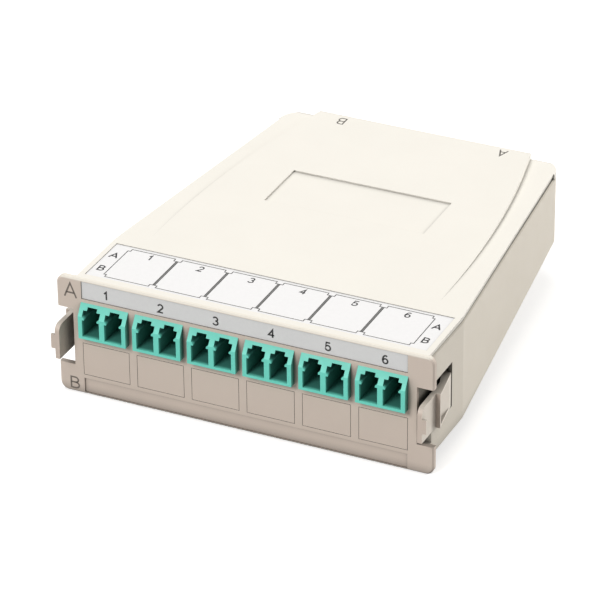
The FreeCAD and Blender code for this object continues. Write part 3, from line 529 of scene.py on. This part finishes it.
def lid_letters():
    """The letters of the two trunk entries engraved at the rear edge of the lid, read from behind,
    drawn as their painted shade.
    """
    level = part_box("top_cover")[1][2] / MM + PRINT_LIFT / 2
    for letter, x, y in (("B", -21.2, 104.6), ("A", 25.3, 104.9)):
        lettering(f"lid_letter_{letter}", letter, (x, y, level), (2.9, 3.7), FROM_BEHIND, 0.4,
                  ENGRAVED_TOP)


smooth_lid()
soften("lower_shell", 0.1, angle=4)
soften("front_plate", 0.1)
for bay in range(1, 7):
    soften(f"lc_adapter_{bay}", 0.07)
    soften(f"blank_insert_{bay}", 0.06)

label_print()
strip_print()
plate_letters()
lid_letters()


# ---------------------------------------------------------------- stage, light and camera

AMBIENT = 0.33        # strength of the world's light
FLOOR_BOUNCE = 0.35   # reflectance of the floor for light on the part
FLOOR_GLOW = 0.5      # added brightness of the floor in view


def seen_directly(nodes, links):
    """1 for what the camera sees, also in a reflection or through glass, and 0 for diffuse light."""
    path = nodes.new("ShaderNodeLightPath")
    seen = path.outputs["Is Camera Ray"]
    for kind in ("Is Glossy Ray", "Is Transmission Ray"):
        either = nodes.new("ShaderNodeMath")
        either.operation = "MAXIMUM"
        links.new(seen, either.inputs[0])
        links.new(path.outputs[kind], either.inputs[1])
        seen = either.outputs["Value"]
    return seen


def floor():
    """A plain white floor that shows white, keeps the shadow and throws little light back."""
    bpy.ops.mesh.primitive_plane_add(size=6.0, location=(0, 0, cad_box[0][2] - 0.05 * MM))
    plane = bpy.context.object
    plane.name = "stage_floor"
    material, nodes, links, shader = new_material("stage_white")
    shader.inputs["Base Color"].default_value = grey(0.9)
    shader.inputs["Roughness"].default_value = 0.9
    shader.inputs["Specular IOR Level"].default_value = 0.0
    dim = nodes.new("ShaderNodeBsdfDiffuse")
    dim.inputs["Color"].default_value = grey(FLOOR_BOUNCE)
    glow = nodes.new("ShaderNodeEmission")
    glow.inputs["Color"].default_value = grey(1.0)
    glow.inputs["Strength"].default_value = FLOOR_GLOW
    both = nodes.new("ShaderNodeAddShader")
    mix = nodes.new("ShaderNodeMixShader")
    output = next(node for node in nodes if node.type == "OUTPUT_MATERIAL")
    links.new(shader.outputs["BSDF"], both.inputs[0])
    links.new(glow.outputs["Emission"], both.inputs[1])
    links.new(seen_directly(nodes, links), mix.inputs["Fac"])
    links.new(dim.outputs["BSDF"], mix.inputs[1])
    links.new(both.outputs["Shader"], mix.inputs[2])
    links.new(mix.outputs["Shader"], output.inputs["Surface"])
    plane.data.materials.append(material)


def world():
    """Soft ambient light from a world that shows as white."""
    scene_world = bpy.data.worlds.new("studio")
    bpy.context.scene.world = scene_world
    scene_world.use_nodes = True
    nodes, links = scene_world.node_tree.nodes, scene_world.node_tree.links
    nodes.clear()
    output = nodes.new("ShaderNodeOutputWorld")
    ambient = nodes.new("ShaderNodeBackground")
    ambient.inputs["Color"].default_value = (1.0, 0.985, 0.965, 1.0)
    ambient.inputs["Strength"].default_value = AMBIENT
    white = nodes.new("ShaderNodeBackground")
    white.inputs["Color"].default_value = grey(1.0)
    white.inputs["Strength"].default_value = 1.0
    mix = nodes.new("ShaderNodeMixShader")
    links.new(seen_directly(nodes, links), mix.inputs["Fac"])
    links.new(ambient.outputs["Background"], mix.inputs[1])
    links.new(white.outputs["Background"], mix.inputs[2])
    links.new(mix.outputs["Shader"], output.inputs["Surface"])


def area_light(name, place, target, size, power, colour, glints=True):
    """A round soft lamp aimed at a target. Without glints it leaves no highlight."""
    data = bpy.data.lights.new(name, "AREA")
    data.shape = "DISK"
    data.size = size
    data.energy = power
    data.color = colour
    lamp = bpy.data.objects.new(name, data)
    bpy.context.collection.objects.link(lamp)
    lamp.location = place
    lamp.rotation_euler = (Vector(target) - Vector(place)).to_track_quat("-Z", "Y").to_euler()
    lamp.visible_glossy = glints


def camera():
    """The photograph's viewpoint: azimuth, elevation, a slight roll, and a long lens."""
    azimuth, elevation, roll = math.radians(25.266), math.radians(29.53), math.radians(-0.553)
    back = Vector((math.sin(azimuth) * math.cos(elevation), -math.cos(azimuth) * math.cos(elevation),
                   math.sin(elevation)))
    right = Vector((math.cos(azimuth), math.sin(azimuth), 0))
    up = back.cross(right)
    turned = right * math.cos(roll) + up * math.sin(roll)
    raised = up * math.cos(roll) - right * math.sin(roll)
    data = bpy.data.cameras.new("camera")
    data.sensor_width = 36.0
    data.lens = 232.0
    data.clip_start = 0.01
    data.clip_end = 20.0
    eye = bpy.data.objects.new("camera", data)
    bpy.context.collection.objects.link(eye)
    place = Matrix.Translation(Vector((0.3647, -0.7404, 0.4880)))
    eye.matrix_world = place @ Matrix((turned, raised, back)).transposed().to_4x4()
    bpy.context.scene.camera = eye


floor()
world()
area_light("overhead", (-0.25, 0.35, 1.2), (0, 0.05, 0), 0.8, 4.6, (1.0, 0.99, 0.97))
area_light("right_fill", (0.67, 1.15, 0.4), (0.05, 0.06, 0), 0.5, 11.8, (1.0, 0.98, 0.95),
           glints=False)
area_light("front_key", (-0.35, -1.1, 0.85), (0, 0, 0), 0.6, 9.8, (1.0, 0.98, 0.96))
camera()
bpy.context.scene.view_settings.view_transform = "Standard"
